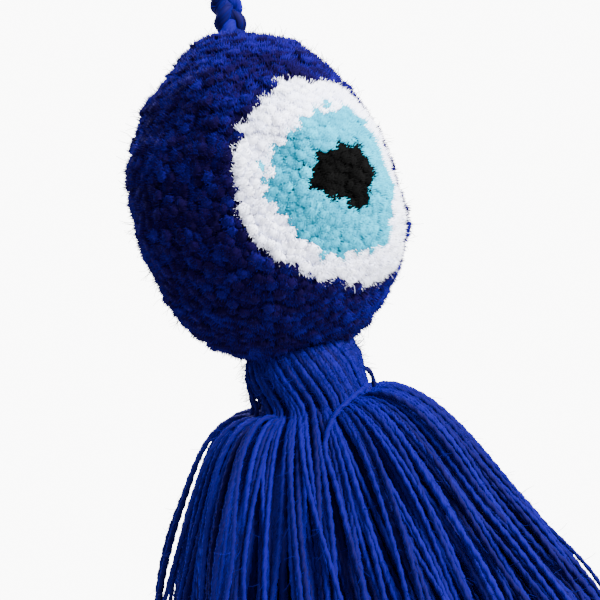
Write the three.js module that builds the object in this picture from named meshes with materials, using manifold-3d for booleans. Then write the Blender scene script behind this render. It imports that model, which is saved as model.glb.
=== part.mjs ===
// Hanging evil eye ornament of yarn: a braided cord with a hanging loop, a dense clipped
// pompom with a wound eye motif on its front, and a full tassel tied below it.
// Units are millimetres, +Z is up, the eye faces -Y, and the origin is the inside top of
// the hanging loop, where the nail or hook bears.

import * as THREE from 'three';
import { mergeVertices } from 'three/addons/utils/BufferGeometryUtils.js';
import Module from 'manifold-3d';

// ---- driving dimensions ----

const GAP = 0.3;                   // left between neighbouring pieces

// hanging loop, overhand knot and braid
const LOOP_CORD_R = 1.9;
const LOOP_BEND_R = 8;             // centreline radius over the hook
const LOOP_LEG_X = 2.5;            // where the legs enter the knot
const SWING_Z = -32;               // the loop and the knot hinge here
const KNOT_TOP_Z = -34;
const KNOT_H = 13;
const KNOT_R = 6.4;
const BRAID_R = 3.75;
const BRAID_SIDES = 12;

// pompom, an ellipsoid of clipped yarn ends
const POMPOM_TOP_Z = -102;
const POMPOM_RX = 35.5;
const POMPOM_RY = 32;
const POMPOM_RZ = 41.5;
const POMPOM_Z = POMPOM_TOP_Z - POMPOM_RZ;
const CORE_R = 8.5;                // hollow at the centre, round the waist of the wound yarn
const CHANNEL_R = 3.4;             // the way for the cord, top to bottom
const INNER_CORD_R = 1.9;
const WAIST_R = 3.2;
const WAIST_L = 9;
const BINDING_R = 4.9;             // ring of binding thread round the waist
const BINDING_THREAD_R = 1.1;
const PUPIL_ANGLE = 15.5;          // half-angles of the motif's cones, in degrees
const IRIS_ANGLE = 33;
const WHITE_ANGLE = 50;

// tassel head and neck tie
const TIE_Z = POMPOM_Z - 48.8;
const TASSEL_PIVOT_Z = -180;
const HEAD_TOP_Z = -182.2;
const HEAD_R = 14.5;
const NECK_R = 11.2;
const TIE_H = 4.4;
const TIE_TURNS = 3;
const TIE_OUTER_R = 13.9;
const TIE_KNOT_ANGLE = -34;        // degrees round from +X, where the tie is knotted
const HANGER_R = 1.7;

// skirt, a bell of loose strands parted into locks
const SKIRT_LENGTH = 117;          // tie centre to strand ends
const OUTER_LOCKS = 16;
const INNER_LOCKS = 8;
const LOCK_GAP = 0.4;
const OUTER_SHARE = 0.6;           // the outer locks' inner radius as a share of the bell's
const INNER_SHARE = 0.24;

const NAVY = 0x121a8c;
const WHITE = 0xdfe0ef;
const TURQUOISE = 0x45bfdf;
const BLACK = 0x101012;

// ---- solids ----

const wasm = await Module();
wasm.setup();

function solid(geometry) {
  const bare = geometry.index ? geometry.toNonIndexed() : geometry.clone();
  bare.deleteAttribute('normal');
  bare.deleteAttribute('uv');
  const merged = mergeVertices(bare, 1e-4);
  return new wasm.Manifold(new wasm.Mesh({
    numProp: 3,
    vertProperties: new Float32Array(merged.attributes.position.array),
    triVerts: new Uint32Array(merged.index.array),
  }));
}

function geometryOf(manifold) {
  const mesh = manifold.getMesh();
  const geometry = new THREE.BufferGeometry();
  geometry.setAttribute('position', new THREE.BufferAttribute(mesh.vertProperties, 3));
  geometry.setIndex(new THREE.BufferAttribute(mesh.triVerts, 1));
  geometry.computeVertexNormals();
  return geometry;
}

// a solid of revolution about Z, from [radius, height] pairs that run upwards
function turned(profile, segments = 24) {
  const points = profile.map(([radius, height]) => new THREE.Vector2(radius, height));
  return new THREE.LatheGeometry(points, segments).rotateX(Math.PI / 2);
}

function tube(points, radius, sides, steps) {
  const section = new THREE.Shape();
  for (let i = 0; i < sides; i += 1) {
    const angle = (i / sides) * 2 * Math.PI;
    const corner = [radius * Math.cos(angle), radius * Math.sin(angle)];
    if (i === 0) section.moveTo(...corner);
    else section.lineTo(...corner);
  }
  const path = new THREE.CatmullRomCurve3(points.map((p) => new THREE.Vector3(...p)));
  return new THREE.ExtrudeGeometry(section, { steps, extrudePath: path, bevelEnabled: false });
}

function ring(radius, threadRadius, segments = 24, sides = 8) {
  return new THREE.TorusGeometry(radius, threadRadius, sides, segments);
}

function cylinder(radius, lowZ, highZ, segments = 20) {
  return new THREE.CylinderGeometry(radius, radius, highZ - lowZ, segments)
    .rotateX(Math.PI / 2)
    .translate(0, 0, (lowZ + highZ) / 2);
}

const ornament = new THREE.Group();

function add(name, geometry, colour) {
  const material = new THREE.MeshStandardMaterial({ color: colour, roughness: 0.95, metalness: 0 });
  const mesh = new THREE.Mesh(geometry, material);
  mesh.name = name;
  ornament.add(mesh);
  return mesh;
}

// ---- hanging loop, knot and braid ----

function addHangingLoop() {
  const apexZ = LOOP_CORD_R;
  const bendZ = apexZ - LOOP_BEND_R;
  const endZ = SWING_Z + 1;
  const arc = [];
  for (let angle = 180; angle >= 0; angle -= 30) {
    const turn = THREE.MathUtils.degToRad(angle);
    arc.push([LOOP_BEND_R * Math.cos(turn), 0, bendZ + LOOP_BEND_R * Math.sin(turn)]);
  }
  const left = [[-LOOP_LEG_X, 0, endZ], [-LOOP_LEG_X - 0.4, 0, endZ + 4], [-LOOP_BEND_R + 1.3, 0, bendZ - 8]];
  const right = left.map(([x, y, z]) => [-x, y, z]).reverse();
  add('hanging_loop', tube([...left, ...arc, ...right], LOOP_CORD_R, 8, 30), NAVY);
}

function addLoopKnot() {
  const knot = new THREE.SphereGeometry(1, 16, 10)
    .rotateX(Math.PI / 2)
    .scale(KNOT_R, KNOT_R, KNOT_H / 2)
    .translate(0, 0, KNOT_TOP_Z - KNOT_H / 2);
  add('loop_knot', knot, NAVY);
}

const BRAID_TOP_Z = KNOT_TOP_Z - KNOT_H - GAP;
const BRAID_END_Z = POMPOM_TOP_Z + 5.5;

function addBraid() {
  const route = [[0, 0, BRAID_TOP_Z], [0, 0, (BRAID_TOP_Z + BRAID_END_Z) / 2], [0, 0, BRAID_END_Z]];
  add('braid', tube(route, BRAID_R, BRAID_SIDES, 4), NAVY);
  // the last bit of the braid draws in where it enters the pile
  const top = BRAID_END_Z - GAP;
  const profile = [[0, POMPOM_TOP_Z + 0.6], [1.5, POMPOM_TOP_Z + 0.6], [BRAID_R - 0.2, top - 1.6], [BRAID_R, top], [0, top]];
  add('braid_tail', turned(profile, BRAID_SIDES), NAVY);
}

// ---- pompom ----

function addPompom() {
  const body = solid(new THREE.SphereGeometry(1, 40, 26)
    .rotateX(Math.PI / 2)
    .scale(POMPOM_RX, POMPOM_RY, POMPOM_RZ)
    .translate(0, 0, POMPOM_Z));
  const core = solid(new THREE.SphereGeometry(CORE_R, 16, 10).translate(0, 0, POMPOM_Z));
  const channel = solid(cylinder(CHANNEL_R, POMPOM_Z - POMPOM_RZ - 1, POMPOM_TOP_Z + 1, 16));
  const headRoom = solid(cylinder(HEAD_R + 0.7, POMPOM_Z - POMPOM_RZ - 1, TASSEL_PIVOT_Z));
  const pile = body.subtract(core).subtract(channel).subtract(headRoom);

  // everything nearer the eye's axis than an angle: a cone from the centre, facing -Y
  const reach = POMPOM_RY * 1.5;
  const cone = (degrees) => {
    const radius = reach * Math.tan(THREE.MathUtils.degToRad(degrees));
    return solid(new THREE.ConeGeometry(radius, reach, 36).translate(0, -reach / 2, 0)
      .translate(0, 0, POMPOM_Z));
  };
  const half = (side) => solid(new THREE.BoxGeometry(200, 100, 200)
    .translate(0, side * (50 + GAP / 2), POMPOM_Z));
  const gapAngle = THREE.MathUtils.radToDeg(GAP / CORE_R);

  add('pile_back', geometryOf(pile.intersect(half(1))), NAVY);
  add('pile_front', geometryOf(pile.intersect(half(-1)).subtract(cone(WHITE_ANGLE))), NAVY);
  add('pile_white', geometryOf(
    pile.intersect(cone(WHITE_ANGLE - gapAngle)).subtract(cone(IRIS_ANGLE))), WHITE);
  add('pile_turquoise', geometryOf(
    pile.intersect(cone(IRIS_ANGLE - gapAngle)).subtract(cone(PUPIL_ANGLE))), TURQUOISE);
  add('pile_black', geometryOf(pile.intersect(cone(PUPIL_ANGLE - gapAngle))), BLACK);
}

function addPompomCore() {
  const waist = new THREE.CylinderGeometry(WAIST_R, WAIST_R, WAIST_L, 16).translate(0, 0, POMPOM_Z);
  add('yarn_waist', waist, NAVY);
  const binding = ring(BINDING_R, BINDING_THREAD_R).rotateX(Math.PI / 2).translate(0, 0, POMPOM_Z);
  add('binding_thread', binding, NAVY);
  const reach = BINDING_R + BINDING_THREAD_R + GAP;
  add('upper_cord', cylinder(INNER_CORD_R, POMPOM_Z + reach, POMPOM_TOP_Z - 2.5, 10), NAVY);
  add('lower_cord', cylinder(INNER_CORD_R, TASSEL_PIVOT_Z + 1.2, POMPOM_Z - reach, 10), NAVY);
}

// ---- tassel head, neck tie and its knot ----

function addTasselHead() {
  const neckTop = TIE_Z + TIE_H / 2 + GAP;
  const neckBottom = TIE_Z - TIE_H / 2;
  const bore = HANGER_R + GAP;
  const boreFloor = TIE_Z + 4;
  const profile = [
    [0, neckBottom], [NECK_R, neckBottom], [NECK_R, neckTop], [HEAD_R - 1, neckTop + 0.8],
    [HEAD_R, neckTop + 3.2], [HEAD_R - 2.6, HEAD_TOP_Z - 1.6], [HEAD_R - 8, HEAD_TOP_Z],
    [bore, HEAD_TOP_Z], [bore, boreFloor], [0, boreFloor],
  ];
  add('tassel_head', turned(profile), NAVY);
  add('tassel_hanger', cylinder(HANGER_R, boreFloor + GAP, TASSEL_PIVOT_Z - 1.2, 10), NAVY);
}

function addNeckTie() {
  // the turns of tie yarn lie on each other, so the ring's outer side is scalloped
  const inner = NECK_R + GAP;
  const turnH = TIE_H / TIE_TURNS;
  const low = TIE_Z - TIE_H / 2;
  const profile = [[inner, low]];
  for (let turn = 0; turn < TIE_TURNS; turn += 1) {
    const z = low + turn * turnH;
    profile.push([TIE_OUTER_R - 0.5, z + 0.1], [TIE_OUTER_R, z + turnH / 2]);
  }
  profile.push([TIE_OUTER_R - 0.5, low + TIE_H], [inner, low + TIE_H], [inner, low]);
  add('neck_tie', turned(profile, 32), NAVY);
}

function addTieKnot() {
  const side = THREE.MathUtils.degToRad(TIE_KNOT_ANGLE);
  const at = (geometry, radius, z) => geometry.translate(radius, 0, z).rotateZ(side);
  const knot = new THREE.SphereGeometry(1, 12, 8).scale(1.3, 1.7, 1.6);
  add('neck_tie_knot', at(knot, TIE_OUTER_R + GAP + 1.3, TIE_Z + 3.2), NAVY);
  const loop = ring(2, 0.7, 16, 6).rotateX(Math.PI / 2);
  add('neck_tie_loop', at(loop, TIE_OUTER_R + 2 * GAP + 5.3, TIE_Z + 4.4), NAVY);
}

// ---- skirt ----

// outside of the bell: [radius, distance below the tie]
const BELL = [[18, 2.6], [22, 2.4], [27, 6], [31, 11], [35.5, 19], [41, 30], [46, 44], [51, 64],
  [54.5, 90], [56.5, SKIRT_LENGTH]];

function bellRadius(drop) {
  const after = Math.max(1, BELL.findIndex(([, below]) => below >= drop));
  const [r0, t0] = BELL[after - 1];
  const [r1, t1] = BELL[after];
  return r0 + ((r1 - r0) * (drop - t0)) / (t1 - t0);
}

function wedge(index, count) {
  const half = Math.PI / count;
  const reach = 2 * BELL.at(-1)[0];
  const tip = LOCK_GAP / 2 / Math.sin(half);
  const sector = new THREE.Shape();
  sector.moveTo(tip, 0);
  sector.lineTo(tip + reach * Math.cos(half), -reach * Math.sin(half));
  sector.lineTo(tip + reach * Math.cos(half), reach * Math.sin(half));
  return solid(new THREE.ExtrudeGeometry(sector, { depth: 2 * SKIRT_LENGTH, bevelEnabled: false })
    .rotateZ((index + 0.5) * 2 * half)
    .translate(0, 0, TIE_Z - 1.5 * SKIRT_LENGTH));
}

function addSkirt() {
  const z = (drop) => TIE_Z - drop;
  const flat = ([radius, drop]) => [radius, z(drop)];
  const low = SKIRT_LENGTH;
  const innerDrops = [low, 64, 30, 12];
  const outerWall = [...BELL].reverse().map(flat);

  // outer locks: between the bell's outside and its inner share
  const innerEdge = innerDrops.map((drop) => [OUTER_SHARE * bellRadius(drop), drop]);
  const outerProfile = [
    ...outerWall, flat([15.6, 4.8]), ...[...innerEdge].reverse().map(flat), outerWall[0]];
  const outerShell = solid(turned(outerProfile, 48));
  for (let i = 0; i < OUTER_LOCKS; i += 1) {
    add(`skirt_lock_outer_${i + 1}`, geometryOf(outerShell.intersect(wedge(i, OUTER_LOCKS))), NAVY);
  }

  // inner locks, and the core strands on the axis
  const wall = (share, inset) => innerDrops.map((drop) => [share * bellRadius(drop) - inset, drop]);
  const innerOuter = wall(OUTER_SHARE, LOCK_GAP).map(flat);
  const innerInner = wall(INNER_SHARE, 0).reverse().map(flat);
  const innerTop = [flat([14.2, 6.2]), flat([7, 6.2])];
  const innerShell = solid(turned([...innerOuter, ...innerTop, ...innerInner, innerOuter[0]], 32));
  for (let i = 0; i < INNER_LOCKS; i += 1) {
    add(`skirt_lock_inner_${i + 1}`, geometryOf(innerShell.intersect(wedge(i, INNER_LOCKS))), NAVY);
  }
  const coreWall = wall(INNER_SHARE, LOCK_GAP).map(flat);
  add('skirt_core', turned([[0, z(low)], ...coreWall, flat([6.4, 6.2]), [0, z(6.2)]], 16), NAVY);
}

addHangingLoop();
addLoopKnot();
addBraid();
addPompom();
addPompomCore();
addTasselHead();
addNeckTie();
addTieKnot();
addSkirt();

export default ornament;
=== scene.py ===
import math

import bpy
import numpy as np
from mathutils import Matrix, Vector


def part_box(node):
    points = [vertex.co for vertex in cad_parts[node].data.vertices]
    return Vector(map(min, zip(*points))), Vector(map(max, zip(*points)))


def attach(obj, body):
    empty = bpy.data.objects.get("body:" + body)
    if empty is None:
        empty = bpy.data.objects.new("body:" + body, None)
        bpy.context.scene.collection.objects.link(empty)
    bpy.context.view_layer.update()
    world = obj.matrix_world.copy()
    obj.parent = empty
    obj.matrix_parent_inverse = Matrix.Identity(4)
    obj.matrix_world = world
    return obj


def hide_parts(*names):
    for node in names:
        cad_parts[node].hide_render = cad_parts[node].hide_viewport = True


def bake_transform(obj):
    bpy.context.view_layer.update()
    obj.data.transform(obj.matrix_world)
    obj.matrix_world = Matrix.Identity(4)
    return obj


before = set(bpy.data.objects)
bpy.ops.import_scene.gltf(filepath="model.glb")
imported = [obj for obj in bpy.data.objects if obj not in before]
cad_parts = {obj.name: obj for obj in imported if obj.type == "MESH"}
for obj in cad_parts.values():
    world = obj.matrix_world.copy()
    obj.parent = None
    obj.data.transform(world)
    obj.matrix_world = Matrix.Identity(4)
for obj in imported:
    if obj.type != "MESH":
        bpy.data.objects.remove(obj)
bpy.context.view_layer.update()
bpy.ops.object.select_all(action="DESELECT")

MM = 0.001
TURN = 2 * math.pi
GOLDEN_TURN = 2.39996             # points each turned by this, in radians, fill a disc or ball evenly

# pompom: an ellipsoid of clipped yarn ends round a small core
POMPOM_CENTRE = np.array([0, 0, -143.5]) * MM
POMPOM_RADII = np.array([35.5, 32, 41.5]) * MM
CORE_RADIUS = 9 * MM

# tie, head and skirt, placed by the CAD nodes
tie_low, tie_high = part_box("neck_tie")
TIE_Z = (tie_low[2] + tie_high[2]) / 2
YARN = 1.55 * MM                  # thickness of the tassel's two-ply yarn
PLY_PITCH = 6.4 * MM              # length of one full turn of its plies
INNER_PITCH = 20 * MM             # the same for the strands that hardly show


def from_mm(values):
    """Sizes or places in millimetres, as metres."""
    return np.asarray(values, float) * MM


# ---- camera and light ----

VIEW_AZIMUTH = -34
VIEW_ELEVATION = 1
VIEW_ROLL = 12
VIEW_DISTANCE = 265 * MM
VIEW_RIGHT = 8 * MM               # the view's centre from the pompom's centre, as the view sees it
VIEW_DOWN = 24.75 * MM
FIELD_OF_VIEW = 31.6


def add_camera():
    """The main view, turned a little about its own axis. Returns its right, up and backward."""
    azimuth, elevation, roll = (math.radians(a) for a in (VIEW_AZIMUTH, VIEW_ELEVATION, VIEW_ROLL))
    towards = Vector((
        math.sin(azimuth) * math.cos(elevation),
        -math.cos(azimuth) * math.cos(elevation),
        math.sin(elevation),
    ))
    right = Vector((math.cos(azimuth), math.sin(azimuth), 0))
    up = towards.cross(right)
    turned_right = right * math.cos(roll) - up * math.sin(roll)
    turned_up = right * math.sin(roll) + up * math.cos(roll)
    target = Vector(POMPOM_CENTRE) + turned_right * VIEW_RIGHT - turned_up * VIEW_DOWN
    data = bpy.data.cameras.new("camera")
    data.angle = math.radians(FIELD_OF_VIEW)
    data.clip_start = 0.005
    camera = bpy.data.objects.new("camera", data)
    bpy.context.scene.collection.objects.link(camera)
    axes = Matrix((turned_right, turned_up, towards)).transposed()
    camera.matrix_world = Matrix.Translation(target + towards * VIEW_DISTANCE) @ axes.to_4x4()
    bpy.context.scene.camera = camera
    return turned_right, turned_up, towards


def add_lamp(name, place, aim, size, power):
    """A soft square lamp that faces aim."""
    data = bpy.data.lights.new(name, "AREA")
    data.size = size
    data.energy = power
    lamp = bpy.data.objects.new(name, data)
    bpy.context.scene.collection.objects.link(lamp)
    lamp.location = place
    lamp.rotation_euler = (Vector(aim) - Vector(place)).to_track_quat("-Z", "Y").to_euler()


# ---- materials ----

def linear(hex_colour):
    """An sRGB hex colour as linear RGBA."""
    channels = [int(hex_colour[i:i + 2], 16) / 255 for i in (1, 3, 5)]
    return [c / 12.92 if c <= 0.04045 else ((c + 0.055) / 1.055) ** 2.4 for c in channels] + [1]


def node(tree, kind, inputs=(), **settings):
    """Adds a node; inputs maps socket names or numbers to values or to sockets to link."""
    made = tree.nodes.new(kind)
    for name, value in settings.items():
        setattr(made, name, value)
    for name, value in dict(inputs).items():
        if isinstance(value, bpy.types.NodeSocket):
            tree.links.new(value, made.inputs[name])
        else:
            made.inputs[name].default_value = value
    return made


def new_material(name):
    """An empty material and its nodes."""
    made = bpy.data.materials.new(name)
    made.use_nodes = True
    made.node_tree.nodes.clear()
    return made, made.node_tree


def finish_material(tree, colour, roughness, gloss=0.5, sheen=0, tint="#ffffff", normal=None):
    """The surface itself. gloss is low on yarn, and sheen is the light caught by loose fibres."""
    inputs = {"Base Color": colour, "Roughness": roughness, "Specular IOR Level": gloss,
              "Sheen Weight": sheen, "Sheen Roughness": 0.5, "Sheen Tint": linear(tint)}
    if normal is not None:
        inputs["Normal"] = normal
    shader = node(tree, "ShaderNodeBsdfPrincipled", inputs)
    node(tree, "ShaderNodeOutputMaterial", {"Surface": shader.outputs["BSDF"]})


def spun_yarn(name, deep, body, bright, tint):
    """Soft spun acrylic yarn: fibres lie along each ply, and strands differ a little in shade."""
    made, tree = new_material(name)
    lay = node(tree, "ShaderNodeUVMap", uv_map="lay")
    # fibres about 0.1 mm wide, drawn three times coarser so that they show
    stretched = node(tree, "ShaderNodeMapping", {
        "Vector": lay.outputs["UV"], "Scale": (1.1, 9, 1), "Rotation": (0, 0, 0.16)})
    fibres = node(tree, "ShaderNodeTexNoise", {
        "Vector": stretched.outputs[0], "Scale": 1.6, "Detail": 3, "Roughness": 0.6})
    tone = node(tree, "ShaderNodeAttribute", attribute_name="tone")
    mixed = node(tree, "ShaderNodeMath", {
        0: fibres.outputs["Fac"], 1: 0.6, 2: 0.02}, operation="MULTIPLY_ADD")
    level = node(tree, "ShaderNodeMath", {
        0: tone.outputs["Fac"], 1: 0.3, 2: mixed.outputs[0]}, operation="MULTIPLY_ADD")
    ramp = node(tree, "ShaderNodeValToRGB", {"Fac": level.outputs[0]})
    ramp.color_ramp.elements[0].position = 0.22
    ramp.color_ramp.elements[0].color = linear(deep)
    ramp.color_ramp.elements[1].position = 0.8
    ramp.color_ramp.elements[1].color = linear(bright)
    ramp.color_ramp.elements.new(0.5).color = linear(body)
    bump = node(tree, "ShaderNodeBump", {
        "Height": fibres.outputs["Fac"], "Distance": 0.25 * MM, "Strength": 0.5})
    finish_material(tree, ramp.outputs["Color"], 0.75, 0.06, 0.25, tint, bump.outputs["Normal"])
    return made


def clipped_pile(name, root, body, tip, tint, sheen=0.2):
    """Cut yarn ends, brushed open: the colour is painted darker towards the fibres' roots as painted
    shade and lighter at their tips as painted light, and the ends of one yarn differ a little from the
    next."""
    made, tree = new_material(name)
    depth = node(tree, "ShaderNodeAttribute", attribute_name="depth")
    tone = node(tree, "ShaderNodeAttribute", attribute_name="tone")
    place = node(tree, "ShaderNodeTexCoord")
    # single fibres, drawn at about 0.4 mm so that they show
    speck = node(tree, "ShaderNodeTexNoise", {
        "Vector": place.outputs["Object"], "Scale": 2500, "Detail": 2})
    shade = node(tree, "ShaderNodeMath", {
        0: tone.outputs["Fac"], 1: 0.3, 2: -0.15}, operation="MULTIPLY_ADD")
    grain = node(tree, "ShaderNodeMath", {
        0: speck.outputs["Fac"], 1: 0.3, 2: shade.outputs[0]}, operation="MULTIPLY_ADD")
    # painted shade and painted light: the depth attribute, 0 at a fibre's root and 1 at its tip, runs the
    # colour from the dark root colour to the light tip colour
    level = node(tree, "ShaderNodeMath", {
        0: depth.outputs["Fac"], 1: 0.75, 2: grain.outputs[0]}, operation="MULTIPLY_ADD")
    ramp = node(tree, "ShaderNodeValToRGB", {"Fac": level.outputs[0]})
    ramp.color_ramp.elements[0].position = 0.25
    ramp.color_ramp.elements[0].color = linear(root)
    ramp.color_ramp.elements[1].position = 0.95
    ramp.color_ramp.elements[1].color = linear(tip)
    ramp.color_ramp.elements.new(0.68).color = linear(body)
    finish_material(tree, ramp.outputs["Color"], 0.9, 0.04, sheen, tint)
    return made


def packed_yarn(name, deep, body, width):
    """Yarn or thread packed or wound tight: a dull grain as wide as one yarn, in the yarn's own colour
    painted darker as painted shade, because it is seen only between other strands, if at all."""
    made, tree = new_material(name)
    place = node(tree, "ShaderNodeTexCoord")
    stretched = node(tree, "ShaderNodeMapping", {
        "Vector": place.outputs["Object"], "Scale": (1, 1, 0.2)})
    grain = node(tree, "ShaderNodeTexNoise", {
        "Vector": stretched.outputs[0], "Scale": 1 / width, "Detail": 3, "Roughness": 0.6})
    # painted shade: both colours of the grain are set dark, for the shade between strands
    ramp = node(tree, "ShaderNodeValToRGB", {"Fac": grain.outputs["Fac"]})
    ramp.color_ramp.elements[0].position = 0.35
    ramp.color_ramp.elements[0].color = linear(deep)
    ramp.color_ramp.elements[1].position = 0.65
    ramp.color_ramp.elements[1].color = linear(body)
    bump = node(tree, "ShaderNodeBump", {
        "Height": grain.outputs["Fac"], "Distance": width, "Strength": 0.6})
    finish_material(tree, ramp.outputs["Color"], 0.8, 0.06, 0.2, body, bump.outputs["Normal"])
    return made


def dress(material, *nodes):
    """Gives the CAD nodes that stay as they are their material."""
    for name in nodes:
        slots = bpy.data.objects[name].data.materials
        slots.clear()
        slots.append(material)


# ---- strands of yarn ----

def through(points, count):
    """A smooth route through the points, given at count places evenly along it."""
    points = np.asarray(points, float)
    ends = np.vstack([2 * points[0] - points[1], points, 2 * points[-1] - points[-2]])
    fine = []
    for a, b, c, d in zip(ends, ends[1:], ends[2:], ends[3:]):
        for t in np.linspace(0, 1, 8, endpoint=False):
            fine.append(0.5 * (2 * b + (c - a) * t + (2 * a - 5 * b + 4 * c - d) * t ** 2
                               + (3 * b - a - 3 * c + d) * t ** 3))
    fine = np.array(fine + [points[-1]])
    along = np.r_[0, np.cumsum(np.linalg.norm(np.diff(fine, axis=0), axis=1))]
    even = np.linspace(0, along[-1], count)
    return np.stack([np.interp(even, along, column) for column in fine.T], axis=1)


def yarn_section(name, plies, sides, waist):
    """The outline of a yarn cut across, one lobe for each ply, of radius 1."""
    curve = bpy.data.curves.new(name, "CURVE")
    curve.dimensions = "2D"
    spline = curve.splines.new("POLY")
    spline.points.add(sides - 1)
    for i, point in enumerate(spline.points):
        angle = TURN * i / sides
        radius = 1 - waist * (0.5 - 0.5 * math.cos(plies * angle))
        point.co = (radius * math.cos(angle), radius * math.sin(angle), 0, 1)
    spline.use_cyclic_u = True
    made = bpy.data.objects.new(name, curve)
    bpy.context.scene.collection.objects.link(made)
    return made


def lay_maps(mesh, rings, sides, pitch, along):
    """Gives a mesh of strands its maps: 'lay' runs along and round each strand in turns of its
    plies, and 'OFBake' sets every strand in a strip of its own."""
    strands = len(along)
    corners = np.empty(len(mesh.loops), np.int32)
    mesh.loops.foreach_get("vertex_index", corners)
    strand, rest = np.divmod(corners, rings * sides)
    ring, side = np.divmod(rest, sides)
    first = np.empty(len(mesh.polygons), np.int32)
    mesh.polygons.foreach_get("loop_start", first)
    size = np.empty(len(mesh.polygons), np.int32)
    mesh.polygons.foreach_get("loop_total", size)
    face = np.repeat(np.arange(len(first)), size)
    highest = np.maximum.reduceat(side, first)[face]
    lowest = np.minimum.reduceat(side, first)[face]
    first_ring = np.minimum.reduceat(ring, first)[face]
    last_ring = np.maximum.reduceat(ring, first)[face]
    # a cap's corners stand round a small circle, so that it has some width on the map
    cap = first_ring == last_ring
    wraps = ~cap & (highest - lowest > 1)
    turn = (side + sides * (wraps & (side == 0))) / sides
    run = ring / (rings - 1)
    nudge = 0.004
    strip_x = np.where(cap, 0.5 + nudge * np.cos(TURN * side / sides), 0.02 + 0.96 * run)
    strip_y = np.where(cap, 0.5 + nudge * np.sin(TURN * side / sides), 0.05 + 0.9 * turn)
    lay = mesh.uv_layers.new(name="lay")
    lay.uv.foreach_set("vector", np.stack(
        [along[strand, ring] / pitch, turn], 1).astype(np.float32).ravel())
    bake = mesh.uv_layers.new(name="OFBake")
    bake.uv.foreach_set("vector", np.stack(
        [strip_x, (strand + strip_y) / strands], 1).astype(np.float32).ravel())
    mesh.uv_layers.active = lay


def spun(name, routes, thickness, section, pitch, rng, material, taper=1.0):
    """Yarns along routes of equally many points, as one mesh. A curve's tilt gives the twist."""
    routes = np.asarray(routes, float)
    strands, rings = routes.shape[:2]
    steps = np.linalg.norm(np.diff(routes, axis=1), axis=2)
    along = np.concatenate([np.zeros((strands, 1)), np.cumsum(steps, axis=1)], axis=1)
    curve = bpy.data.curves.new(name, "CURVE")
    curve.dimensions = "3D"
    curve.bevel_mode = "OBJECT"
    curve.bevel_object = section
    narrowing = np.linspace(1, taper, rings)
    thickness = np.broadcast_to(thickness, strands)
    for route, run, width in zip(routes, along, thickness):
        spline = curve.splines.new("POLY")
        spline.points.add(rings - 1)
        spline.points.foreach_set("co", np.c_[route, np.ones(rings)].ravel())
        spline.points.foreach_set("radius", width / 2 * narrowing)
        spline.points.foreach_set("tilt", TURN * (run / pitch + rng.random()))
    piece = bpy.data.objects.new(name, curve)
    bpy.context.scene.collection.objects.link(piece)
    bpy.context.view_layer.objects.active = piece
    piece.select_set(True)
    bpy.ops.object.convert(target="MESH")
    bpy.ops.object.mode_set(mode="EDIT")
    bpy.ops.mesh.select_all(action="SELECT")
    bpy.ops.mesh.fill_holes(sides=0)
    bpy.ops.object.mode_set(mode="OBJECT")
    bpy.ops.object.shade_smooth()
    piece.select_set(False)
    mesh = piece.data
    for layer in list(mesh.uv_layers):
        mesh.uv_layers.remove(layer)
    sides = len(section.data.splines[0].points)
    tones = np.repeat(rng.random(strands), rings * sides)
    mesh.attributes.new("tone", "FLOAT", "POINT").data.foreach_set("value", tones.astype(np.float32))
    lay_maps(mesh, rings, sides, pitch, along)
    mesh.materials.clear()
    mesh.materials.append(material)
    return piece


# ---- braid, knot and hanging loop ----

BRAID_WIDTH = 7.5 * MM
BRAID_PERIOD = 14.4 * MM          # one strand's way across and back
BRAID_SIDE = 0.3 * BRAID_WIDTH    # a strand's middle goes this far to each side
BRAID_FRONT = 1.1 * MM            # and this far to the front and to the back
BRAID_STRAND = 3.9 * MM
BRAID_PITCH = 13 * MM             # one full turn of the yarns in a strand
BRAID_TOP = (0, 0, -0.0448)
BRAID_FOOT = (0, 0, -0.1032)
LOOP_CORD = 3.8 * MM
LOOP_BEND = 8 * MM                # radius of the bend over the hook
LOOP_TOP_Z = 1.9 * MM             # the cord's middle there
# one leg of the loop, from inside the knot upwards, in millimetres
LOOP_LEG = [[-1.9, 0, -36], [-2.4, 0, -32], [-2.9, 0, -27], [-6.7, 0, -14.1]]
KNOT_CORD = 4.8 * MM
CORD_PITCH = 10 * MM              # one full turn of the yarns in the loop and the knot


def add_braid(section, material, rng):
    """Three strands plaited: each goes from side to side, in front at one crossing and behind at
    the next, a third of the period after the last."""
    z = np.linspace(0, BRAID_TOP[2] - BRAID_FOOT[2], 160)
    routes = []
    for strand in range(3):
        phase = TURN * (z / BRAID_PERIOD + strand / 3)
        routes.append(np.stack([
            BRAID_SIDE * np.sin(phase), BRAID_FRONT * np.sin(2 * phase), BRAID_FOOT[2] + z], 1))
    braid = spun("braided_cord", routes, BRAID_STRAND, section, BRAID_PITCH, rng, material)
    path = np.linspace(BRAID_FOOT, BRAID_TOP, 24)
    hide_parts("braid", "braid_tail")
    return braid, path


def loop_route():
    """Up from the knot, over the hook in a round bend, and back down beside itself."""
    bend_z = LOOP_TOP_Z - LOOP_BEND
    leg = from_mm(LOOP_LEG)
    arc = [[LOOP_BEND * math.cos(a), 0, bend_z + LOOP_BEND * math.sin(a)]
           for a in np.radians(range(180, -1, -30))]
    return through(np.vstack([leg, arc, (leg * [-1, 1, 1])[::-1]]), 200)


def add_hanging_loop(section, material, rng):
    """The twisted cord that goes over the hook."""
    route = loop_route()
    loop = spun("twisted_loop", [route], LOOP_CORD, section, CORD_PITCH, rng, material)
    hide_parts("hanging_loop")
    return loop, route


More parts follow.
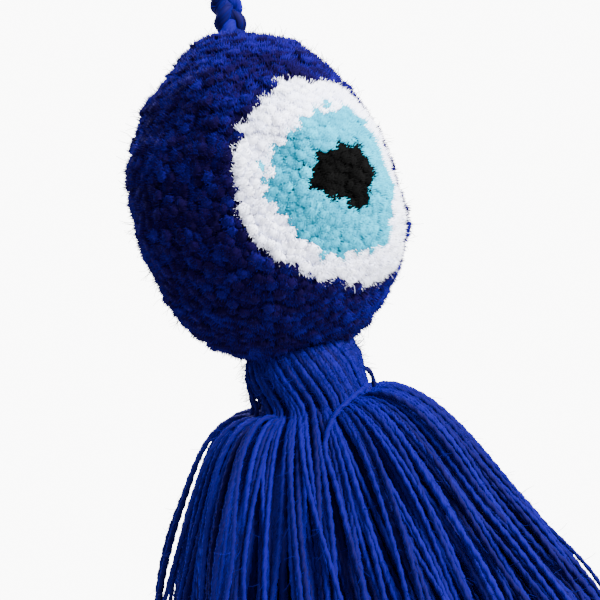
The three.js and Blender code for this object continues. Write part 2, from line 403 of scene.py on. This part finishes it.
def add_loop_knot(section, material, rng):
    """A tight overhand knot: the route of a trefoil, drawn up lengthways."""
    t = np.linspace(0, TURN, 150)
    low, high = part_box("loop_knot")
    size = 1.25 * MM
    x = size * (np.sin(t) + 2 * np.sin(2 * t))
    z = size * 1.38 * (np.cos(t) - 2 * np.cos(2 * t))
    y = -size * 1.15 * np.sin(3 * t)
    route = np.stack([x, y, z + (low[2] + high[2]) / 2 + 1 * MM], 1)
    knot = spun("overhand_knot", [route], KNOT_CORD, section, CORD_PITCH, rng, material)
    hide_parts("loop_knot")
    return knot


# ---- pompom ----

TUFT_SPACING = 2.05 * MM          # from one yarn end to the next
TUFT_RADIUS = 1.48 * MM           # of one opened yarn end
TUFT_KINDS = 5                    # differently opened yarn ends, each used hundreds of times
PLUG_LENGTH = 6 * MM
FIBRES_PER_TUFT = 27
PLUG_DEPTH = 0.8 * MM             # the solid part of a yarn end lies this far under the tips
CHANNEL_RADIUS = 4.2 * MM         # kept free for the cord, at the top
HEAD_RADIUS = 12.4 * MM           # kept free for the tassel's head, underneath


def bump_at(angle, middle, width):
    """1 in the direction middle, in degrees, and falling away on both sides of it."""
    off = (np.degrees(angle) - middle + 180) % 360 - 180
    return np.exp(-(off / width) ** 2)


def motif_edges(angle):
    """How far the pupil, the blue ring and the white ring reach from the eye's middle, in the
    direction angle, seen from the front. Wound by hand, so none is quite round."""
    pupil = (8.6 + 0.9 * np.cos(angle) + 0.9 * np.cos(2 * angle) + 2.2 * bump_at(angle, -55, 12)
             - 1.5 * bump_at(angle, -90, 25) - 2.9 * bump_at(angle, -130, 28))
    ring = (18.1 + 0.9 * bump_at(angle, 10, 40) + 2.5 * bump_at(angle, -45, 20)
            - 3.3 * bump_at(angle, 122, 26) - bump_at(angle, -150, 20))
    white = (24.2 + 6 * bump_at(angle, -52, 25) - 1.2 * bump_at(angle, -118, 25)
             + 1.5 * bump_at(angle, 105, 10) + 0.7 * bump_at(angle, 60, 12))
    return pupil * MM, ring * MM, white * MM


def yarn_end(rng):
    """One clipped yarn end: a plug of packed fibres that widens from the core outwards, and the
    opened fibre ends on it. Its tip is at the origin, and it points along +Z."""
    bpy.ops.mesh.primitive_cone_add(
        vertices=6, radius1=0.25 * TUFT_RADIUS, radius2=0.95 * TUFT_RADIUS, depth=PLUG_LENGTH,
        location=(0, 0, -PLUG_LENGTH / 2 - PLUG_DEPTH))
    made = bpy.context.object
    bpy.ops.object.transform_apply(location=True)
    bpy.ops.object.mode_set(mode="EDIT")
    for i in range(FIBRES_PER_TUFT):
        turn = i * GOLDEN_TURN
        out = TUFT_RADIUS * 1.05 * math.sqrt((i + 0.5) / FIBRES_PER_TUFT)
        long = rng.uniform(1.9, 2.5) * MM
        lean = 0.2 * out / TUFT_RADIUS + rng.uniform(-0.12, 0.16)
        bpy.ops.mesh.primitive_cone_add(
            vertices=3, radius1=rng.uniform(0.34, 0.44) * MM, radius2=0, depth=long,
            location=(out * math.cos(turn), out * math.sin(turn),
                      -long / 2 + rng.uniform(-0.5, 0.25) * MM),
            rotation=(0, lean, turn))
    bpy.ops.object.mode_set(mode="OBJECT")
    mesh = made.data
    points = np.array([v.co[:] for v in mesh.vertices])
    faces = [list(p.vertices) for p in mesh.polygons]
    bpy.data.objects.remove(made)
    return points, faces


def face_spots(faces):
    """A place on the bake map for each corner of a yarn end: each face round a spot of its own."""
    across = math.ceil(math.sqrt(len(faces)))
    spots = []
    for i, face in enumerate(faces):
        row, column = divmod(i, across)
        for k in range(len(face)):
            angle = TURN * k / len(face)
            spots.append(((column + 0.5 + 0.38 * math.cos(angle)) / across,
                          (row + 0.5 + 0.38 * math.sin(angle)) / across))
    return np.array(spots)


def plant(name, kinds, tips, axes, reach, rng, material):
    """Copies of the yarn ends set along their axes with their tips at the given places, as one
    mesh. reach is how far each one's root lies under its tip."""
    helper = np.where(np.abs(axes[:, 2:]) < 0.9, [[0, 0, 1.0]], [[1.0, 0, 0]])
    across = np.cross(helper, axes)
    across /= np.linalg.norm(across, axis=1)[:, None]
    other = np.cross(axes, across)
    spin = rng.uniform(0, TURN, len(tips))[:, None]
    first = across * np.cos(spin) + other * np.sin(spin)
    second = np.cross(axes, first)
    scale = rng.uniform(0.92, 1.14, len(tips))
    kind_of = rng.integers(0, len(kinds), len(tips))
    tone_of = rng.random(len(tips))
    grid = math.ceil(math.sqrt(len(tips)))
    points, corners, sizes, tones, depths, places = [], [], [], [], [], []
    total = 0
    for kind, (shape, faces) in enumerate(kinds):
        chosen = np.flatnonzero(kind_of == kind)
        root = shape[:, 2] < -5 * MM
        down = np.where(root[None], -reach[chosen][:, None], shape[None, :, 2])
        spread = scale[chosen][:, None, None]
        local = (shape[None, :, :1] * first[chosen][:, None] * spread
                 + shape[None, :, 1:2] * second[chosen][:, None] * spread
                 + down[:, :, None] * axes[chosen][:, None])
        points.append((tips[chosen][:, None] + local).reshape(-1, 3))
        flat = np.concatenate([np.array(f) for f in faces])
        start = total + np.arange(len(chosen))[:, None] * len(shape)
        corners.append((start + flat[None]).ravel())
        sizes.append(np.tile([len(f) for f in faces], len(chosen)))
        tones.append(np.repeat(tone_of[chosen], len(shape)))
        # depth, 0 at a fibre's root and 1 at its tip: the pile's material paints shade at the roots and
        # light at the tips by it
        depths.append(np.tile(np.clip(1 + shape[:, 2] / (2.4 * MM), 0, 1), len(chosen)))
        cell = np.stack([chosen % grid, chosen // grid], 1)[:, None]
        places.append(((cell + 0.02 + 0.96 * face_spots(faces)[None]) / grid).reshape(-1, 2))
        total += len(chosen) * len(shape)
    points, corners, sizes = np.concatenate(points), np.concatenate(corners), np.concatenate(sizes)
    mesh = bpy.data.meshes.new(name)
    mesh.vertices.add(len(points))
    mesh.vertices.foreach_set("co", points.astype(np.float32).ravel())
    mesh.loops.add(len(corners))
    mesh.loops.foreach_set("vertex_index", corners.astype(np.int32))
    mesh.polygons.add(len(sizes))
    mesh.polygons.foreach_set("loop_start", np.r_[0, np.cumsum(sizes)[:-1]].astype(np.int32))
    mesh.update(calc_edges=True)
    for attribute, values in (("tone", tones), ("depth", depths)):
        mesh.attributes.new(attribute, "FLOAT", "POINT").data.foreach_set(
            "value", np.concatenate(values).astype(np.float32))
    mesh.uv_layers.new(name="OFBake").uv.foreach_set(
        "vector", np.concatenate(places).astype(np.float32).ravel())
    mesh.materials.append(material)
    piece = bpy.data.objects.new(name, mesh)
    bpy.context.scene.collection.objects.link(piece)
    return piece


def pompom_surface(directions):
    """The distance from the pompom's middle to its clipped surface, a little lumpy."""
    x, y, z = directions.T
    even = 1 / np.sqrt(((directions / POMPOM_RADII) ** 2).sum(1))
    lumps = (0.5 * np.sin(5.1 * x + 2.3 * z + 0.4) + 0.45 * np.sin(4.3 * y - 5.7 * z + 1.9)
             + 0.35 * np.sin(9.2 * x - 7.1 * y + 3.3) + 0.3 * np.sin(11.3 * z + 8.4 * x + 5.2)
             + 0.22 * np.sin(31 * x + 17 * z) * np.sin(27 * y - 23 * z + 1)) * MM
    back_left = 1.3 * MM * np.clip(0.7 * y - 0.7 * x - 0.3 * z, 0, 1) ** 2
    upper_right = 2.2 * MM * np.clip(0.8 * x - 0.35 * y + 0.5 * z, 0, 1) ** 4
    return even + lumps - back_left - upper_right


def add_pompom(materials, rng):
    """Yarn ends spread evenly over the surface, each in the colour of its part of the eye. Returns
    the tips and axes of the white ones and the navy ones."""
    area = 4 * math.pi * ((np.prod(POMPOM_RADII) ** (1 / 3)) ** 2)
    count = int(area / (0.866 * TUFT_SPACING ** 2))
    i = np.arange(count) + 0.5
    z = 1 - 2 * i / count
    turn = i * GOLDEN_TURN
    level = np.sqrt(1 - z ** 2)
    even = np.stack([level * np.cos(turn), level * np.sin(turn), z], 1)
    directions = even * POMPOM_RADII
    directions += rng.normal(0, 0.28 * MM, directions.shape)
    directions /= np.linalg.norm(directions, axis=1)[:, None]
    distance = pompom_surface(directions)
    bare = directions * distance[:, None]
    from_axis = np.hypot(bare[:, 0], bare[:, 1])
    free = np.where(bare[:, 2] > 0, from_axis > CHANNEL_RADIUS, from_axis > HEAD_RADIUS)
    keep = np.flatnonzero(free)
    directions, distance, bare = directions[keep], distance[keep], bare[keep]

    angle = np.arctan2(bare[:, 2], bare[:, 0])
    out = np.hypot(bare[:, 0], bare[:, 2]) + rng.normal(0, 0.45 * MM, len(keep))
    pupil, ring, white = motif_edges(angle)
    front = bare[:, 1] < 0
    zones = np.select(
        [front & (out < pupil), front & (out < ring), front & (out < white), front],
        ["black", "turquoise", "white", np.where(bare[:, 2] < 0, "front_low", "front_high")],
        np.where(bare[:, 0] < 0, "back_left", "back_right"))

    # the eye is clipped closer than the rest
    unevenness = np.where(np.isin(zones, ["black", "turquoise", "white"]), 0.18, 0.42) * MM
    distance = distance + rng.normal(0, 1, len(keep)) * unevenness
    axes = directions + rng.normal(0, 0.09, directions.shape)
    axes /= np.linalg.norm(axes, axis=1)[:, None]
    tips = POMPOM_CENTRE + directions * distance[:, None]
    reach = distance - CORE_RADIUS

    kinds = [yarn_end(rng) for _ in range(TUFT_KINDS)]
    for zone in np.unique(zones):
        chosen = zones == zone
        colour = zone if zone in materials else "navy"
        pile = plant(f"yarn_ends_{zone}", kinds, tips[chosen], axes[chosen], reach[chosen], rng,
                     materials[colour])
        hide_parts("pile_" + zone.split("_")[0])
        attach(pile, "pompom")
    return {colour: (tips[chosen], axes[chosen]) for colour, chosen in (
        ("white", zones == "white"), ("navy", ~np.isin(zones, ["white", "turquoise", "black"])))}


# ---- tassel ----

# outside of the bell: [radius, distance below the tie], in millimetres
BELL = [[9.6, -2.4], [10.8, 0.8], [12.9, 2.8], [15.6, 3], [18.6, 2.6], [22.5, 3.5], [27, 6.6],
        [31, 11.4], [35.5, 19], [41, 30], [46, 44], [51, 64], [54, 90], [55.8, 117]]
# the steepest way down, for strands that hang close below the neck
STEEP = [[9.6, -2.4], [10.8, 0.4], [12.4, 2.4], [13.8, 4.2], [15.4, 6.8], [17.8, 10.4], [20.6, 15.2],
         [23.6, 21], [27.6, 29], [32.6, 39], [38.2, 53], [44, 71], [48.6, 94], [51.2, 117]]
# a strand that comes down over the tie starts on the head: its first three points, given as above,
# and how far each is turned back, in radians
OVER_THE_TIE = [[12.9, -11.2], [14.5, -6.2], [14.3, 0.7]]
OVER_THE_TIE_TURN = [0.42, 0.24, 0.03]
SKIRT_LENGTH = 117 * MM
SHOULDER = 22 * MM                # the bell's shoulder ends this far below the tie
FLARE = 9 * MM                    # the skirt reaches further out by this on the side of the tie's knot
FRONT = math.radians(-118)        # the side where the strands hang steepest, from +X
FRONT_WIDTH = 0.7                 # how wide that side is, in radians
KNOT_SIDE = math.radians(-34)     # the side of the tie's knot
STRAND_SWAY = 0.045               # a strand waves from side to side by this, in radians
STRAND_RIPPLE = 1.1 * MM          # and in and out by this
CLUMP_EDGE = 0.9 * MM             # strands at the edge of a clump lie this much deeper
CLUMPS = 44
SECOND_CLUMPS = 33
THIRD_CLUMPS = 23
OUTER_LOCKS = 16
INNER_LOCKS = 8
OUTER_STRANDS = 232
SECOND_STRANDS = 235
THIRD_STRANDS = 270
CORE_STRANDS = 60
# where strands stand off a little, in degrees from +X
STANDING_OFF = [141, 149, -16, -20, -25, -30, -36, -42, -48, 60, 200, 290]
SLANTING_ALL_ROUND = 52
SLANTING_NEAR_FRONT = 20
OUTER_RINGS = 160                 # how finely the strands of each layer are drawn
SECOND_RINGS = 64
INNER_RINGS = 36


def skirt_route(start, share, depth, arch, clump, sway, rng, count, over=False):
    """One strand's way: out from under the tie, over the shoulder of the bell and down its side.
    share shrinks the bell for strands further in, arch mixes the round and the steep way down,
    and clump is the bundle of strands that it joins: its angle, lift and drift."""
    bell = (arch * np.array(BELL) + (1 - arch) * np.array(STEEP)) * MM
    if over:
        bell[:3] = from_mm(OVER_THE_TIE)
    below = np.clip(bell[:, 1] / SHOULDER, 0, 1)
    run = np.clip(bell[:, 1] / SKIRT_LENGTH, 0, 1)
    pull, phase_a, phase_b, waves, drift = sway
    middle, lift, lean = clump
    gather = np.sin(np.clip(run * 2.6, 0, 1) * math.pi / 2)
    angle = (start + (middle - start) * pull * gather + (drift + lean) * run ** 0.8
             + STRAND_SWAY * np.sin(waves * run + phase_a) * np.clip(run * 2, 0.12, 1))
    if over:
        angle[:3] -= OVER_THE_TIE_TURN
    edge = ((start - middle) / (math.pi / CLUMPS)) ** 2
    radius = share * bell[:, 0] - depth * np.clip(below * 2, 0.15, 1)
    radius += (lift - CLUMP_EDGE * min(edge, 2)) * gather
    radius += STRAND_RIPPLE * np.sin(1.4 * waves * run + phase_b) * np.clip(run * 4, 0, 1)
    radius += (share * FLARE * np.clip((run - 0.28) / 0.3, 0, 1)
               * max(0, math.cos(start - KNOT_SIDE)) ** 2)
    drop = bell[:, 1] + (1 - share) * 9 * MM * (bell[:, 1] > 0) * (1 - below)
    drop[-1] += rng.uniform(-4.5, 0.5) * MM
    points = np.stack([radius * np.cos(angle), radius * np.sin(angle), TIE_Z - drop], 1)
    return through(points, count)


def sway_of(rng, loose=1.0):
    """How one strand lies: its pull to its clump, the phases and rate of its waves, and its drift."""
    return (rng.uniform(0.2, 0.75), rng.uniform(0, TURN), rng.uniform(0, TURN),
            rng.uniform(4, 11), loose * rng.normal(0, 0.06))


def hang_from_tie(piece):
    """Bakes the placing of strands, and of the fibres on them, into their mesh."""
    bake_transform(piece)


def steepness(angle):
    """1 at the front, where strands hang steepest, and falling to 0 on both sides of it."""
    off = (angle - FRONT + math.pi) % TURN - math.pi
    return math.exp(-(off / FRONT_WIDTH) ** 2)


def strand_layer(number, clumps, shares, depth, spread, rings, rng):
    """The strands of one layer, drawn together in clumps, as (start angle, route)."""
    middles = TURN * (np.arange(clumps) + rng.uniform(-0.4, 0.4, clumps)) / clumps
    lifts = rng.uniform(-1, 0.8, clumps) * MM
    leans = rng.normal(0, spread, clumps)
    found = []
    for i in range(number):
        angle = TURN * (i + rng.uniform(-0.45, 0.45)) / number
        gaps = (middles - angle + math.pi) % TURN - math.pi
        nearest = np.argmin(np.abs(gaps))
        clump = angle + gaps[nearest], lifts[nearest], leans[nearest]
        arch = (1 - 0.95 * steepness(angle) - 0.45 * rng.random() ** 3
                - 0.06 * (1 - math.cos(angle - KNOT_SIDE)))
        found.append((angle % TURN, skirt_route(
            angle, rng.uniform(*shares), rng.uniform(0, depth) * MM, max(arch, 0), clump,
            sway_of(rng), rng, rings)))
    return found


def loose_strands(rng):
    """Strands that stand off at the sides, and strands that lie slantwise over the others, most of
    which come down over the tie, as (start angle, route)."""
    found = []
    for angle in np.radians(STANDING_OFF):
        angle += rng.normal(0, 0.03)
        share = rng.uniform(0.995, 1.02)
        clump = angle, rng.uniform(0.2, 1.6) * MM, rng.normal(0, 0.05)
        found.append((angle % TURN, skirt_route(
            angle, share, 0, 1, clump, sway_of(rng, 1.5), rng, OUTER_RINGS)))
    all_round = rng.uniform(0, TURN, SLANTING_ALL_ROUND)
    near_front = rng.normal(FRONT + 0.35, 0.45, SLANTING_NEAR_FRONT)
    for angle in np.append(all_round, near_front) % TURN:
        arch = 1 - 0.9 * steepness(angle)
        clump = angle, rng.uniform(0.6, 1.6) * MM, rng.normal(0, 0.2)
        sway = sway_of(rng)
        found.append((angle, skirt_route(
            angle, 1, 0, arch, clump, sway, rng, OUTER_RINGS, over=rng.random() < 0.75)))
    return found


def add_lock(name, layer, index, locks, section, thickness, pitch, material, rng):
    """The strands of a layer that start in one sector of the skirt, as one piece."""
    low, high = index * TURN / locks, (index + 1) * TURN / locks
    routes = [route for angle, route in layer if low <= angle < high]
    widths = thickness * rng.uniform(0.86, 1.14, len(routes))
    lock = spun(name, routes, widths, section, pitch, rng, material)
    hang_from_tie(lock)
    return lock


def add_skirt(sections, material, rng):
    """Three layers of strands and a core. Returns the routes of the outer layer."""
    outer = strand_layer(OUTER_STRANDS, CLUMPS, (0.975, 1.0), 2.2, 0.075, OUTER_RINGS, rng)
    outer += loose_strands(rng)
    second = strand_layer(SECOND_STRANDS, SECOND_CLUMPS, (0.86, 0.95), 1.6, 0.02, SECOND_RINGS, rng)
    third = strand_layer(THIRD_STRANDS, THIRD_CLUMPS, (0.36, 0.8), 1.6, 0.02, INNER_RINGS, rng)
    for i in range(OUTER_LOCKS):
        front = add_lock(f"tassel_lock_outer_{i + 1}", outer, i, OUTER_LOCKS, sections["yarn"],
                         YARN, PLY_PITCH, material, rng)
        behind = add_lock(f"tassel_lock_second_{i + 1}", second, i, OUTER_LOCKS, sections["simple"],
                          1.35 * YARN, INNER_PITCH, material, rng)
        for piece in (front, behind):
            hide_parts(f"skirt_lock_outer_{i + 1}")
    for i in range(INNER_LOCKS):
        inner = add_lock(f"tassel_lock_inner_{i + 1}", third, i, INNER_LOCKS, sections["simple"],
                         1.45 * YARN, INNER_PITCH, material, rng)
        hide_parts(f"skirt_lock_inner_{i + 1}")
    middle = [skirt_route(angle, rng.uniform(0.04, 0.42), 0, 1, (angle, 0, 0), sway_of(rng), rng,
                          INNER_RINGS)
              for angle in rng.uniform(0, TURN, CORE_STRANDS)]
    core = spun("tassel_core_strands", middle, 1.3 * YARN, sections["simple"], INNER_PITCH, rng, material)
    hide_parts("skirt_core")
    hang_from_tie(core)
    return [route for _, route in outer]


HEAD_STRANDS = 112
HEAD_STRAND = 1.2 * MM
# outside of the head: [radius, height above the tie], in millimetres
HEAD_PROFILE = [[4, 12.6], [9, 12.4], [12.2, 11.6], [13.6, 9.6], [14.1, 7], [14.1, 4.4], [13.5, 2.2],
                [12, 0.4], [10.6, -0.8]]
HEAD_TURN = 0.5                   # a strand goes round by this much on its way down, in radians
HEAD_BUNDLE = (13.3 * MM, 13.3 * MM, 7.8 * MM)
HEAD_BUNDLE_RISE = 5.2 * MM       # its middle above the tie


def add_head(section, material, core_material, rng):
    """The top of the bundle: yarns folded over the hanger run down to the tie, slightly askew."""
    profile = from_mm(HEAD_PROFILE)
    down = np.linspace(0, 1, len(profile))
    routes = []
    for i in range(HEAD_STRANDS):
        start = TURN * (i + rng.uniform(-0.3, 0.3)) / HEAD_STRANDS
        radius = profile[:, 0] - rng.uniform(0, 0.45) * MM
        turn = start + HEAD_TURN * down + 0.05 * np.sin(4 * down + 2.4 * i)
        points = np.stack([radius * np.cos(turn), radius * np.sin(turn), TIE_Z + profile[:, 1]], 1)
        routes.append(through(points, 30))
    widths = HEAD_STRAND * rng.uniform(0.9, 1.15, HEAD_STRANDS)
    head = spun("tassel_head_yarns", routes, widths, section, PLY_PITCH, rng, material)
    bpy.ops.mesh.primitive_uv_sphere_add(segments=32, ring_count=16, radius=1)
    packed = bpy.context.object
    packed.name = "tassel_head_bundle"
    bpy.ops.object.mode_set(mode="EDIT")
    bpy.ops.transform.resize(value=HEAD_BUNDLE)
    bpy.ops.transform.translate(value=(0, 0, TIE_Z + HEAD_BUNDLE_RISE))
    bpy.ops.object.mode_set(mode="OBJECT")
    bpy.ops.object.shade_smooth()
    packed.data.materials.append(core_material)
    for piece in (head, packed):
        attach(piece, "head")
        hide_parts("tassel_head")
        piece.select_set(False)


TIE_TURNS = 3
TIE_RADIUS = 11.8 * MM
TIE_YARN = 1.6 * MM
TIE_RISE = 1.45 * MM              # from one turn to the next
# the slack loop at the knot: [out from the axis, along the tie, above the tie], in millimetres
SLACK_LOOP = [[12.4, 0.6, -0.6], [13.1, 0.3, 1.7], [14.4, 0, 2.9], [15.8, 0.1, 2.2], [16.5, 0.5, 0.3],
              [16.5, 0.9, -2], [16, 1.2, -4.6]]
# the tie's long end: [radius in millimetres, degrees from +X, millimetres below the tie]
LONG_END = [[14.6, -36, 0.2], [15.4, -60, 1], [15.9, -88, 2.6], [17, -108, 5.4]]


def add_tie(section, material, rng):
    """Three turns of yarn round the neck, knotted at the side, with a slack loop at the knot and a
    long end."""
    t = np.linspace(0, TIE_TURNS * TURN, 150)
    height = (t / TURN - TIE_TURNS / 2) * TIE_RISE
    route = np.stack([TIE_RADIUS * np.cos(t + KNOT_SIDE), TIE_RADIUS * np.sin(t + KNOT_SIDE),
                      TIE_Z + height], 1)
    tie = spun("neck_tie_turns", [route], TIE_YARN, section, PLY_PITCH, rng, material)
    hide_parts("neck_tie")

    out = np.array([math.cos(KNOT_SIDE), math.sin(KNOT_SIDE), 0])
    sideways = np.array([-math.sin(KNOT_SIDE), math.cos(KNOT_SIDE), 0])
    up = np.array([0, 0, 1])

    def at(points):
        """Points given as [out from the axis, along the tie, above the tie], in millimetres."""
        return [x * MM * out + y * MM * sideways + (z * MM + TIE_Z) * up for x, y, z in points]

    t = np.linspace(0, TURN, 60)
    knot_route = [[13.6 + 0.5 * (math.cos(a) - 2 * math.cos(2 * a)),
                   0.5 * (math.sin(a) + 2 * math.sin(2 * a)),
                   0.6 - 0.5 * math.sin(3 * a)] for a in t]
    knot = spun("neck_tie_hitch", [at(knot_route)], 1.5 * MM, section, PLY_PITCH, rng, material)
    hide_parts("neck_tie_knot")
    loop = spun("neck_tie_slack", [through(at(SLACK_LOOP), 40)], 1.35 * MM, section, PLY_PITCH, rng,
                material)
    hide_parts("neck_tie_loop")
    for piece in (tie, knot, loop):
        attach(piece, "head")

    # the long end crosses the front of the neck and hangs down among the strands
    start = [[r * MM * math.cos(math.radians(a)), r * MM * math.sin(math.radians(a)), TIE_Z - d * MM]
             for r, a, d in LONG_END]
    hanging = skirt_route(math.radians(-121), 1, -0.9 * MM, 0.1, (math.radians(-121), 0, 0),
                          (0, 0.5, 1, 6, 0.02), rng, 60)
    hanging = hanging[hanging[:, 2] < TIE_Z - 9.5 * MM][::4]
    tail = spun("neck_tie_long_end", [through(np.vstack([start, hanging]), 150)], TIE_YARN, section,
                PLY_PITCH, rng, material)
    hang_from_tie(tail)


# ---- loose fibres ----

FIBRE = 0.14 * MM                 # drawn a few times thicker than real, so that it shows
BRAID_FIBRES = 450
HEAD_FIBRES = 700
TASSEL_FIBRES = 3600


def add_fuzz(name, roots, outward, length, section, material, rng):
    """Fine loose fibres that stand off the yarn, each a little curved."""
    routes = []
    for root, out in zip(roots, outward):
        aim = out + rng.normal(0, 0.5, 3)
        aim /= np.linalg.norm(aim)
        bend = np.cross(aim, rng.normal(0, 1, 3))
        long = length * rng.uniform(0.5, 1.3)
        t = np.linspace(0, 1, 5)[:, None]
        routes.append(root + aim * long * t + bend * long * 0.35 * t ** 2)
    # too thin for a twist to show
    return spun(name, routes, FIBRE, section, 50 * MM, rng, material, taper=0.5)


def add_loose_fibres(pile, strands, section, piles, tassel_yarn, cord_yarn, rng):
    """Loose fibres over the pompom, the skirt, the braid and the tassel's head."""
    # the fuzz has no depth attribute, so the pile's material gives it mostly the root colour, with its
    # painted shade
    for colour, number, long in (("white", 200, 1.1), ("navy", 1100, 2.4)):
        tips, axes = pile[colour]
        picks = rng.integers(0, len(tips), number)
        fuzz = add_fuzz(f"pompom_fuzz_{colour}", tips[picks], axes[picks], long * MM, section,
                        piles[colour], rng)
        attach(fuzz, "pompom")

    picks = [(strands[rng.integers(len(strands))], rng.integers(8, 148)) for _ in range(TASSEL_FIBRES)]
    roots = np.array([route[k] for route, k in picks])
    outward = roots * [1, 1, 0]
    outward /= np.linalg.norm(outward, axis=1)[:, None]
    fuzz = add_fuzz("tassel_fuzz", roots + outward * 0.5 * MM, outward + [0, 0, -0.4], 3 * MM, section,
                    tassel_yarn, rng)
    hang_from_tie(fuzz)

    turn = rng.uniform(0, TURN, BRAID_FIBRES)
    outward = np.stack([np.cos(turn), 0.7 * np.sin(turn), 0 * turn], 1)
    roots = outward * 3.4 * MM + np.outer(rng.uniform(-0.096, -0.052, BRAID_FIBRES), [0, 0, 1])
    fuzz = add_fuzz("braid_fuzz", roots, outward, 1.9 * MM, section, cord_yarn, rng)
    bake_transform(fuzz)

    turn = rng.uniform(0, TURN, HEAD_FIBRES)
    outward = np.stack([np.cos(turn), np.sin(turn), 0 * turn], 1)
    heights = TIE_Z + rng.uniform(0.5, 11, HEAD_FIBRES) * MM
    roots = outward * 14.2 * MM + np.outer(heights, [0, 0, 1])
    fuzz = add_fuzz("head_fuzz", roots, outward, 2.4 * MM, section, tassel_yarn, rng)
    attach(fuzz, "head")


# ---- the ornament ----

def add_cords(sections, material, rng):
    """The braid with its knot, and the hanging loop; only the knot is attached to the cord's body."""
    braid, braid_path = add_braid(sections["plait"], material, rng)
    loop, route = add_hanging_loop(sections["cord"], material, rng)
    knot = add_loop_knot(sections["cord"], material, rng)
    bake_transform(braid)
    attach(knot, "cord")
    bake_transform(loop)


def add_studio(right, up, towards):
    """A plain pale floor, a bright even surround, and two soft lamps placed by the main view."""
    bpy.ops.mesh.primitive_circle_add(vertices=96, radius=0.4, fill_type="NGON", location=(0, 0, -0.42))
    floor = bpy.context.object
    floor.name = "floor"
    floor_finish, tree = new_material("painted_board_pale")
    finish_material(tree, linear("#e9e8e6"), 0.8)
    floor.data.materials.append(floor_finish)

    world = bpy.data.worlds.new("studio")
    bpy.context.scene.world = world
    world.use_nodes = True
    tree = world.node_tree
    tree.nodes.clear()
    ray = node(tree, "ShaderNodeLightPath")
    # the ornament is lit by a dimmer surround than the one that is seen behind it
    ambient = node(tree, "ShaderNodeBackground", {"Color": (1, 1, 1, 1), "Strength": 1.45})
    seen = node(tree, "ShaderNodeBackground", {"Color": (1, 1, 0.995, 1), "Strength": 10})
    mixed = node(tree, "ShaderNodeMixShader", {
        0: ray.outputs["Is Camera Ray"], 1: ambient.outputs[0], 2: seen.outputs[0]})
    node(tree, "ShaderNodeOutputWorld", {"Surface": mixed.outputs[0]})
    middle = Vector(POMPOM_CENTRE)
    add_lamp("key", middle + right * 0.55 + up * 0.5 + towards * 0.45, middle, 0.45, 50)
    add_lamp("rim", middle - right * 0.35 + up * 0.6 - towards * 0.5, middle, 0.4, 20)


def main():
    rng = np.random.default_rng(11)
    right, up, towards = add_camera()
    sections = {
        "yarn": yarn_section("two_ply", 2, 8, 0.27),
        "simple": yarn_section("two_ply_simple", 2, 6, 0.14),
        "cord": yarn_section("three_yarns", 3, 12, 0.13),
        "plait": yarn_section("four_yarns", 4, 16, 0.18),
        "fibre": yarn_section("fibre", 3, 3, 0),
    }
    tassel_yarn = spun_yarn("acrylic_yarn_royal_blue", "#03001c", "#070044", "#0c0068", "#1404e0")
    cord_yarn = spun_yarn("acrylic_yarn_cord_blue", "#03001c", "#080046", "#0e006c", "#1404e0")
    # the packed, bound and binding yarns are painted dark as painted shade, since they are seen only
    # between strands
    packed_blue = packed_yarn("acrylic_yarn_packed_blue", "#01000c", "#07003c", YARN)
    bound_navy = packed_yarn("acrylic_yarn_bound_navy", "#010008", "#060024", YARN)
    binding_thread = packed_yarn("polyester_binding_thread", "#020008", "#0c0630", 0.6 * MM)
    # each pile: its root colour with painted shade, the yarn's own colour, its tip colour with painted
    # light, and its sheen tint
    piles = {
        "navy": clipped_pile("cut_pile_navy", "#020009", "#080026", "#130362", "#2418b0"),
        "white": clipped_pile("cut_pile_white", "#bcc2e0", "#e2e4f5", "#f0f2fd", "#ffffff", 0.1),
        "turquoise": clipped_pile("cut_pile_turquoise", "#006c84", "#008aa4", "#00aac4", "#18c8de", 0.05),
        "black": clipped_pile("cut_pile_black", "#000000", "#020202", "#080808", "#101012"),
    }

    add_cords(sections, cord_yarn, rng)
    pile = add_pompom(piles, rng)
    strands = add_skirt(sections, tassel_yarn, rng)
    add_head(sections["yarn"], tassel_yarn, packed_blue, rng)
    add_tie(sections["yarn"], tassel_yarn, rng)
    dress(packed_blue, "upper_cord", "lower_cord", "tassel_hanger")
    dress(bound_navy, "yarn_waist")
    dress(binding_thread, "binding_thread")
    add_loose_fibres(pile, strands, sections["fibre"], piles, tassel_yarn, cord_yarn, rng)
    for section in sections.values():
        bpy.data.objects.remove(section)
    add_studio(right, up, towards)


main()
